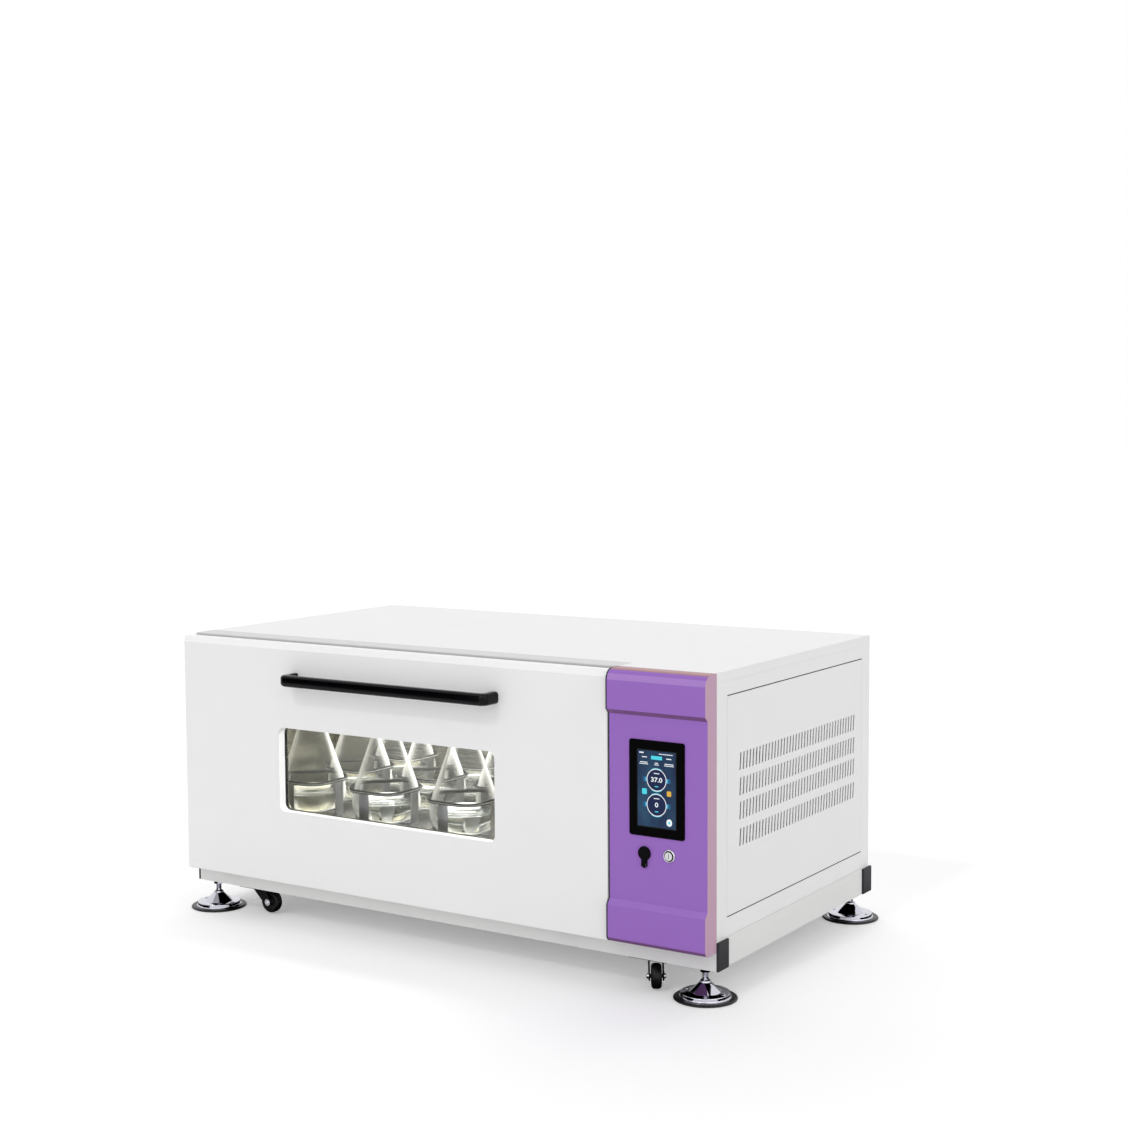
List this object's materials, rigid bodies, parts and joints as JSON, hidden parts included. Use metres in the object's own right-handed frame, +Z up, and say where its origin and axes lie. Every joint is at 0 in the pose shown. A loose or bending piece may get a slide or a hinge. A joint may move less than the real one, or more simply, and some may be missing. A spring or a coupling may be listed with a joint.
{
  "type": "incubated shaker",
  "caption": "Low benchtop shaking incubator with a drop-down front door, window, side control panel, orbiting flask platform, levelling feet and castors.",
  "frame": {"origin": "on the floor, under the middle of the whole object's box", "axes": "+X to the right, towards the control panel; -Y is the front with the door; +Z up"},
  "size_m": [1.388, 0.834, 0.63],
  "materials": {
    "white_paint": "white powder coat",
    "side_paint": "light grey-white powder coat",
    "base_paint": "light grey-white powder coat",
    "bumper_plastic": "black moulded corner",
    "chamber_steel": "brushed stainless sheet",
    "platform_steel": "brushed stainless sheet",
    "spring_wire": "dark coiled wire",
    "flask_glass": "clear vessel with a light filling",
    "window_glass": "clear window pane",
    "seal_rubber": "black soft seal",
    "handle_gloss": "glossy black",
    "panel_violet": "violet gloss paint",
    "screen_black": "black touch glass",
    "display": "dark display",
    "lock_chrome": "polished",
    "port_black": "black soft cap",
    "port_plastic": "black socket",
    "drive_cast": "cast",
    "drive_shaft_steel": "turned steel",
    "motor_case": "dark motor can",
    "belt_rubber": "black toothed belt",
    "fan_plastic": "black moulded fan",
    "coil_aluminium": "finned coil",
    "compressor_paint": "black can",
    "inlet_plastic": "black socket",
    "rocker_plastic": "dark red rocker",
    "foot_chrome": "plated dish on a black rubber disc",
    "caster_black": "black coated pressing",
    "wheel_black": "black tyre on a black hub"
  },
  "bodies": {
    "cabinet": {"base_frame": "base_paint", "corner_bumpers": "bumper_plastic", "roof_cover": "white_paint", "left_side_panel": "side_paint", "right_side_panel": "side_paint", "vent_panel": "side_paint", "rear_panel": "side_paint", "front_frame": "side_paint", "chamber_liner": "chamber_steel", "duct_cover": "chamber_steel", "control_panel": "panel_violet", "screen_glass": "screen_black", "display_module": "display", "lock_ring": "lock_chrome", "data_port": "port_plastic", "drive_bed": "drive_cast", "bearing_housings": "drive_cast", "drive_motor": "motor_case", "drive_belt": "belt_rubber", "air_coil": "coil_aluminium", "fan_motor": "motor_case", "compressor": "compressor_paint", "condenser": "coil_aluminium", "power_inlet": "inlet_plastic", "hinge_brackets": "drive_shaft_steel", "caster_plates": "caster_black"},
    "door": {"door_shell": "white_paint", "door_liner": "chamber_steel", "outer_glass": "window_glass", "inner_glass": "window_glass", "glass_spacer": "seal_rubber", "door_gasket": "seal_rubber", "door_handle": "handle_gloss"},
    "drive_crank": {"eccentric_shaft": "drive_shaft_steel", "drive_pulley": "drive_cast"},
    "platform": {"platform_tray": "platform_steel", "platform_carrier": "platform_steel", "flask_clamps": "platform_steel", "clamp_springs": "spring_wire", "flasks": "flask_glass"},
    "idler_left": {"idler_crank_left": "drive_shaft_steel"},
    "idler_right": {"idler_crank_right": "drive_shaft_steel"},
    "motor_rotor": {"motor_pulley": "drive_cast"},
    "air_fan": {"fan_impeller": "fan_plastic"},
    "cooling_fan": {"condenser_fan": "fan_plastic"},
    "lock": {"lock_barrel": "lock_chrome"},
    "port_cover": {"port_cap": "port_black"},
    "rocker": {"power_rocker": "rocker_plastic"},
    "foot_front_left": {"foot_front_left": "foot_chrome"},
    "fork_front_left": {"caster_fork_front_left": "caster_black"},
    "wheel_front_left": {"caster_wheel_front_left": "wheel_black"},
    "foot_front_right": {"foot_front_right": "foot_chrome"},
    "fork_front_right": {"caster_fork_front_right": "caster_black"},
    "wheel_front_right": {"caster_wheel_front_right": "wheel_black"},
    "foot_rear_left": {"foot_rear_left": "foot_chrome"},
    "fork_rear_left": {"caster_fork_rear_left": "caster_black"},
    "wheel_rear_left": {"caster_wheel_rear_left": "wheel_black"},
    "foot_rear_right": {"foot_rear_right": "foot_chrome"},
    "fork_rear_right": {"caster_fork_rear_right": "caster_black"},
    "wheel_rear_right": {"caster_wheel_rear_right": "wheel_black"}
  },
  "joints": [
    {"name": "door_hinge", "type": "hinge", "parent": "cabinet", "child": "door", "pos_m": [-0.1091, -0.361, 0.1096], "axis": [1, 0, 0], "range_deg": [0, 90]},
    {"name": "drive_spin", "type": "hinge", "parent": "cabinet", "child": "drive_crank", "pos_m": [-0.1165, 0.053, 0.11], "axis": [0, 0, 1], "continuous": true},
    {"name": "platform_turn", "type": "hinge", "parent": "drive_crank", "child": "platform", "pos_m": [-0.104, 0.053, 0.21], "axis": [0, 0, 1], "continuous": true},
    {"name": "idler_left_spin", "type": "hinge", "parent": "cabinet", "child": "idler_left", "pos_m": [-0.3765, -0.167, 0.11], "axis": [0, 0, 1], "continuous": true},
    {"name": "idler_right_spin", "type": "hinge", "parent": "cabinet", "child": "idler_right", "pos_m": [0.1435, -0.167, 0.11], "axis": [0, 0, 1], "continuous": true},
    {"name": "motor_spin", "type": "hinge", "parent": "cabinet", "child": "motor_rotor", "pos_m": [0.1235, 0.053, 0.12], "axis": [0, 0, 1], "continuous": true},
    {"name": "air_fan_spin", "type": "hinge", "parent": "cabinet", "child": "air_fan", "pos_m": [-0.104, 0.285, 0.38], "axis": [0, 1, 0], "continuous": true},
    {"name": "cooling_fan_spin", "type": "hinge", "parent": "cabinet", "child": "cooling_fan", "pos_m": [0.574, -0.03, 0.277], "axis": [1, 0, 0], "continuous": true},
    {"name": "lock_turn", "type": "hinge", "parent": "cabinet", "child": "lock", "pos_m": [0.5865, -0.375, 0.2816], "axis": [0, -1, 0], "range_deg": [-90, 0]},
    {"name": "port_cover_swing", "type": "hinge", "parent": "cabinet", "child": "port_cover", "pos_m": [0.5328, -0.3739, 0.259], "axis": [1, 0, 0], "range_deg": [0, 110]},
    {"name": "power_switch", "type": "hinge", "parent": "cabinet", "child": "rocker", "pos_m": [0.573, 0.3755, 0.258], "axis": [-1, 0, 0], "range_deg": [0, 14]},
    {"name": "foot_front_left_screw", "type": "slide", "parent": "cabinet", "child": "foot_front_left", "axis": [0, 0, -1], "range_m": [0, 0.02]},
    {"name": "foot_front_right_screw", "type": "slide", "parent": "cabinet", "child": "foot_front_right", "axis": [0, 0, -1], "range_m": [0, 0.02]},
    {"name": "foot_rear_left_screw", "type": "slide", "parent": "cabinet", "child": "foot_rear_left", "axis": [0, 0, -1], "range_m": [0, 0.02]},
    {"name": "foot_rear_right_screw", "type": "slide", "parent": "cabinet", "child": "foot_rear_right", "axis": [0, 0, -1], "range_m": [0, 0.02]},
    {"name": "fork_front_left_swivel", "type": "hinge", "parent": "cabinet", "child": "fork_front_left", "pos_m": [-0.512, -0.295, 0.055], "axis": [0, 0, 1], "continuous": true},
    {"name": "wheel_front_left_spin", "type": "hinge", "parent": "fork_front_left", "child": "wheel_front_left", "pos_m": [-0.487, -0.295, 0.027], "axis": [0, -1, 0], "continuous": true},
    {"name": "fork_front_right_swivel", "type": "hinge", "parent": "cabinet", "child": "fork_front_right", "pos_m": [0.512, -0.295, 0.055], "axis": [0, 0, 1], "continuous": true},
    {"name": "wheel_front_right_spin", "type": "hinge", "parent": "fork_front_right", "child": "wheel_front_right", "pos_m": [0.52562, -0.31597, 0.027], "axis": [-0.8387, -0.5446, 0], "continuous": true},
    {"name": "fork_rear_left_swivel", "type": "hinge", "parent": "cabinet", "child": "fork_rear_left", "pos_m": [-0.512, 0.337, 0.055], "axis": [0, 0, 1], "continuous": true},
    {"name": "wheel_rear_left_spin", "type": "hinge", "parent": "fork_rear_left", "child": "wheel_rear_left", "pos_m": [-0.512, 0.362, 0.027], "axis": [1, 0, 0], "continuous": true},
    {"name": "fork_rear_right_swivel", "type": "hinge", "parent": "cabinet", "child": "fork_rear_right", "pos_m": [0.512, 0.337, 0.055], "axis": [0, 0, 1], "continuous": true},
    {"name": "wheel_rear_right_spin", "type": "hinge", "parent": "fork_rear_right", "child": "wheel_rear_right", "pos_m": [0.537, 0.337, 0.027], "axis": [0, -1, 0], "continuous": true}
  ],
  "couplings": [
    {"joint": "platform_turn", "follows": "drive_spin", "ratio": -1},
    {"joint": "idler_left_spin", "follows": "drive_spin", "ratio": 1},
    {"joint": "idler_right_spin", "follows": "drive_spin", "ratio": 1},
    {"joint": "motor_spin", "follows": "drive_spin", "ratio": 3}
  ]
}
